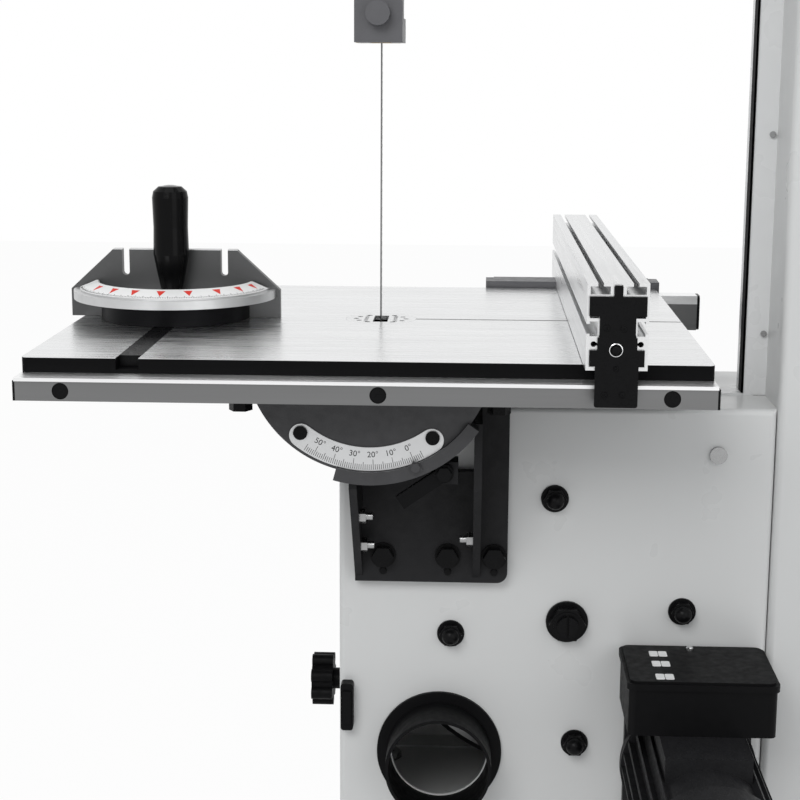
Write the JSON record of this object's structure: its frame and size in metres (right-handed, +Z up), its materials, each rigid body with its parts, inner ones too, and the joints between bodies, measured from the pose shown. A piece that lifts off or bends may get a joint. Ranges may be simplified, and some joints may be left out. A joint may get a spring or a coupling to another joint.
{
  "type": "vertical bandsaw",
  "caption": "Floor standing vertical bandsaw with tilting table, rip fence, mitre gauge, guided toothed blade on two wheels, doors and motor.",
  "frame": {"origin": "on the floor under the stand's base plate, straight below the blade", "axes": "+X from the blade to the column, +Y from the motor side to the doors, +Z up"},
  "size_m": [0.823, 0.7293, 1.747],
  "materials": {
    "housing_paint": "satin light grey powder coat",
    "anthracite_paint": "satin black paint",
    "saddle_paint": "dark grey paint",
    "ground_iron": "ground top, black painted edge",
    "wheel_iron": "turned grey iron",
    "rubber": "matt rubber",
    "blade_steel": "rolled spring steel",
    "bright_steel": "bright steel",
    "rail_aluminium": "brushed anodised",
    "cast_aluminium": "fine cast, machined face",
    "black_steel": "black oxide",
    "black_plastic": "fine texture",
    "gloss_black": "polished black",
    "guard_paint": "signal yellow",
    "ceramic": "fired ceramic",
    "start_green": "moulded",
    "stop_red": "moulded"
  },
  "bodies": {
    "frame": {"stand": "housing_paint", "lower_housing": "housing_paint", "column": "housing_paint", "upper_housing": "housing_paint", "return_guard": "housing_paint", "hinge_brackets": "anthracite_paint", "lower_shaft": "bright_steel", "wall_fasteners": "black_steel", "trunnion_bracket": "anthracite_paint", "saddle": "saddle_paint", "frame_fasteners": "bright_steel", "lower_guide_bracket": "saddle_paint", "motor_body": "anthracite_paint", "terminal_box": "anthracite_paint", "terminal_lid": "anthracite_paint", "drive_belt": "rubber", "dust_port": "black_plastic", "door_switch": "black_plastic", "switch_box": "black_plastic", "blade": "blade_steel"},
    "lower_wheel": {"lower_wheel": "wheel_iron", "lower_tyre": "rubber", "lower_bearings": "bright_steel"},
    "motor_pulley": {"motor_pulley": "bright_steel"},
    "tension_carriage": {"tension_carriage": "saddle_paint", "tension_spring": "bright_steel"},
    "tension_handwheel": {"tension_handwheel": "gloss_black"},
    "tracking_block": {"tracking_block": "wheel_iron"},
    "tracking_knob": {"tracking_knob": "black_plastic"},
    "upper_wheel": {"upper_wheel": "wheel_iron", "upper_tyre": "rubber", "upper_bearings": "bright_steel"},
    "guide_post": {"guide_post": "bright_steel", "guide_head": "saddle_paint", "upper_guide_blocks": "ceramic", "blade_guard": "guard_paint"},
    "guide_handwheel": {"guide_handwheel": "gloss_black"},
    "upper_thrust_bearing": {"upper_thrust_bearing": "bright_steel"},
    "lower_thrust_bearing": {"lower_thrust_bearing": "bright_steel"},
    "table": {"table": "ground_iron", "table_insert": "black_plastic", "near_rail": "rail_aluminium", "far_rail": "rail_aluminium", "rail_fittings": "black_steel", "trunnion": "anthracite_paint", "tilt_scale": "rail_aluminium"},
    "fence": {"fence": "rail_aluminium", "fence_end_plate": "black_steel", "fence_carriage": "saddle_paint"},
    "fence_lever": {"fence_lever": "black_plastic"},
    "mitre_bar": {"mitre_bar": "bright_steel"},
    "mitre_head": {"mitre_head": "cast_aluminium"},
    "mitre_handle": {"mitre_handle": "gloss_black"},
    "clamp_lever": {"clamp_lever": "black_plastic"},
    "lower_door": {"lower_door": "housing_paint"},
    "upper_door": {"upper_door": "housing_paint"},
    "lower_door_knob": {"lower_door_knob": "black_plastic"},
    "upper_door_knob": {"upper_door_knob": "black_plastic"},
    "start_button": {"start_button": "start_green"},
    "stop_button": {"stop_button": "stop_red"}
  },
  "joints": [
    {"name": "table_tilt", "type": "hinge", "parent": "frame", "child": "table", "pos_m": [0, 0, 0.88], "axis": [0, -1, 0], "range_deg": [0, 45]},
    {"name": "tilt_clamp_lever", "type": "hinge", "parent": "frame", "child": "clamp_lever", "pos_m": [0.066, -0.185, 0.772], "axis": [0, -1, 0], "range_deg": [0, 55]},
    {"name": "lower_wheel_spin", "type": "hinge", "parent": "frame", "child": "lower_wheel", "pos_m": [0.182, 0, 0.605], "axis": [0, 1, 0], "continuous": true},
    {"name": "motor_spin", "type": "hinge", "parent": "frame", "child": "motor_pulley", "pos_m": [0.299, -0.1, 0.468], "axis": [0, 1, 0], "continuous": true},
    {"name": "tension_slide", "type": "slide", "parent": "frame", "child": "tension_carriage", "axis": [0, 0, -1], "range_m": [0, 0.02], "deforming": ["tension_spring"]},
    {"name": "tension_wheel_turn", "type": "hinge", "parent": "frame", "child": "tension_handwheel", "pos_m": [0.182, -0.069, 1.26], "axis": [0, 0, 1], "range_deg": [0, 3602]},
    {"name": "tracking_tilt", "type": "hinge", "parent": "tension_carriage", "child": "tracking_block", "pos_m": [0.182, -0.042, 1.52], "axis": [1, 0, 0], "range_deg": [-1.5, 0.2]},
    {"name": "tracking_knob_turn", "type": "hinge", "parent": "tension_carriage", "child": "tracking_knob", "pos_m": [0.182, -0.1, 1.494], "axis": [0, 1, 0], "range_deg": [-361, 49]},
    {"name": "upper_wheel_spin", "type": "hinge", "parent": "tracking_block", "child": "upper_wheel", "pos_m": [0.182, 0, 1.52], "axis": [0, 1, 0], "continuous": true},
    {"name": "guide_height", "type": "slide", "parent": "frame", "child": "guide_post", "axis": [0, 0, 1], "range_m": [-0.2405, 0.0405]},
    {"name": "guide_wheel_turn", "type": "hinge", "parent": "frame", "child": "guide_handwheel", "pos_m": [-0.06, -0.0645, 1.364], "axis": [1, 0, 0], "range_deg": [-1152, 196]},
    {"name": "upper_thrust_spin", "type": "hinge", "parent": "guide_post", "child": "upper_thrust_bearing", "pos_m": [0, -0.0193, 1.152], "axis": [1, 0, 0], "continuous": true},
    {"name": "lower_thrust_spin", "type": "hinge", "parent": "frame", "child": "lower_thrust_bearing", "pos_m": [0, -0.0193, 0.823], "axis": [1, 0, 0], "continuous": true},
    {"name": "fence_slide", "type": "slide", "parent": "table", "child": "fence", "axis": [1, 0, 0], "range_m": [-0.155, 0.04]},
    {"name": "fence_lever_turn", "type": "hinge", "parent": "fence", "child": "fence_lever", "pos_m": [0.2055, 0.295, 0.856], "axis": [1, 0, 0], "range_deg": [0, 55]},
    {"name": "mitre_slide", "type": "slide", "parent": "table", "child": "mitre_bar", "axis": [0, 1, 0], "range_m": [-0.2, 0.2]},
    {"name": "mitre_swivel", "type": "hinge", "parent": "mitre_bar", "child": "mitre_head", "pos_m": [-0.2, 0, 0.88], "axis": [0, 0, 1], "range_deg": [-60, 60]},
    {"name": "mitre_handle_turn", "type": "hinge", "parent": "mitre_head", "child": "mitre_handle", "pos_m": [-0.2, -0.022, 0.96], "axis": [0, 0, 1], "range_deg": [0, 180]},
    {"name": "lower_door_hinge", "type": "hinge", "parent": "frame", "child": "lower_door", "pos_m": [0.376, 0.101, 0.6], "axis": [0, 0, -1], "range_deg": [0, 115]},
    {"name": "upper_door_hinge", "type": "hinge", "parent": "frame", "child": "upper_door", "pos_m": [0.376, 0.101, 1.5], "axis": [0, 0, -1], "range_deg": [0, 115]},
    {"name": "lower_knob_turn", "type": "hinge", "parent": "frame", "child": "lower_door_knob", "pos_m": [-0.06, 0.066, 0.486], "axis": [1, 0, 0], "range_deg": [0, 720]},
    {"name": "upper_knob_turn", "type": "hinge", "parent": "frame", "child": "upper_door_knob", "pos_m": [-0.06, 0.066, 1.5185], "axis": [1, 0, 0], "range_deg": [0, 720]},
    {"name": "start_press", "type": "slide", "parent": "frame", "child": "start_button", "axis": [0, -1, 0], "range_m": [0, 0.004], "stiffness_N_per_m": 300, "springref_m": -0.002},
    {"name": "stop_press", "type": "slide", "parent": "frame", "child": "stop_button", "axis": [0, -1, 0], "range_m": [0, 0.004], "stiffness_N_per_m": 300, "springref_m": -0.002}
  ],
  "couplings": [
    {"joint": "upper_wheel_spin", "follows": "lower_wheel_spin", "ratio": 1},
    {"joint": "motor_spin", "follows": "lower_wheel_spin", "ratio": 2.5},
    {"joint": "tension_wheel_turn", "follows": "tension_slide", "rad_per_m": 3141.6},
    {"joint": "tracking_knob_turn", "follows": "tracking_tilt", "ratio": 240},
    {"joint": "guide_wheel_turn", "follows": "guide_height", "rad_per_m": 83.333}
  ]
}
